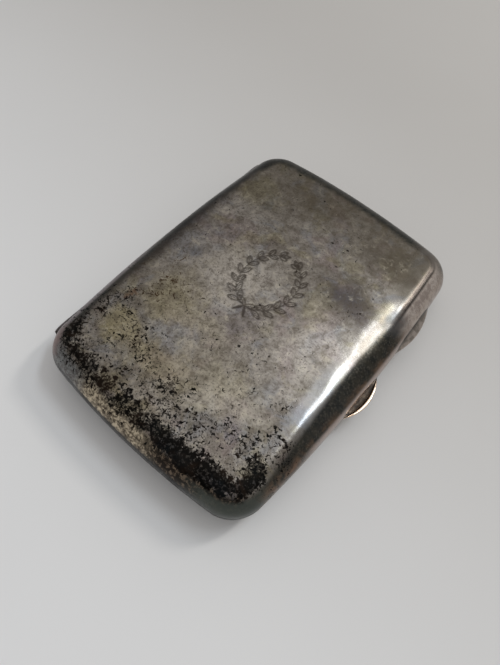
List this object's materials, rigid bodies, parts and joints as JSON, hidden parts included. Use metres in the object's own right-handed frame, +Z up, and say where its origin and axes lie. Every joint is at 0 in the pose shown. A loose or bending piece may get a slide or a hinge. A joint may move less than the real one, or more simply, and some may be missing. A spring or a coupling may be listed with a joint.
{
  "type": "cigarette case",
  "caption": "Flat pocket case of two pressed silver halves with bowed sides, a long knuckle hinge, two thumb pieces, a snap catch and an elastic band in each half.",
  "frame": {"origin": "middle of the plan outline, on the flat outside face of the base, which the closed case lies on", "axes": "+X from the hinge to the catch, +Y along the hinge towards the end nearer the lid's thumb piece, +Z up through the lid"},
  "size_m": [0.0628, 0.083, 0.0137],
  "materials": {
    "silver_lid": "tarnished polished silver, cloudy, with fine black speckles",
    "silver_base": "tarnished polished silver with brown patches",
    "silver_hinge": "tarnished polished silver, darker in the joints",
    "coppery_silver": "tarnished silver with a coppery edge",
    "gilt": "gilt wash over silver, satin",
    "pin_wire": "drawn wire",
    "elastic": "woven elastic braid"
  },
  "bodies": {
    "base": {"base_shell": "silver_base", "base_rim": "gilt", "base_hinge_bearer": "silver_hinge", "base_knuckle_1": "silver_hinge", "base_knuckle_2": "silver_hinge", "base_knuckle_3": "silver_hinge", "base_knuckle_4": "silver_hinge", "hinge_pin": "pin_wire", "hinge_plug_near": "silver_hinge", "hinge_plug_far": "silver_hinge", "base_thumb_piece": "coppery_silver", "bezel_strip": "gilt", "catch_pips": "gilt", "base_hinge_staple": "gilt", "base_catch_staple": "gilt", "base_band": "elastic"},
    "lid": {"lid_shell": "silver_lid", "lid_rim": "gilt", "lid_hinge_bearer": "silver_hinge", "lid_knuckle_1": "silver_hinge", "lid_knuckle_2": "silver_hinge", "lid_knuckle_3": "silver_hinge", "lid_thumb_piece": "silver_lid", "lid_hinge_staple": "gilt", "lid_catch_staple": "gilt", "lid_band": "elastic"}
  },
  "joints": [
    {"name": "lid_hinge", "type": "hinge", "parent": "base", "child": "lid", "pos_m": [-0.0292, 0, 0.00685], "axis": [0, -1, 0], "range_deg": [0, 180]}
  ]
}
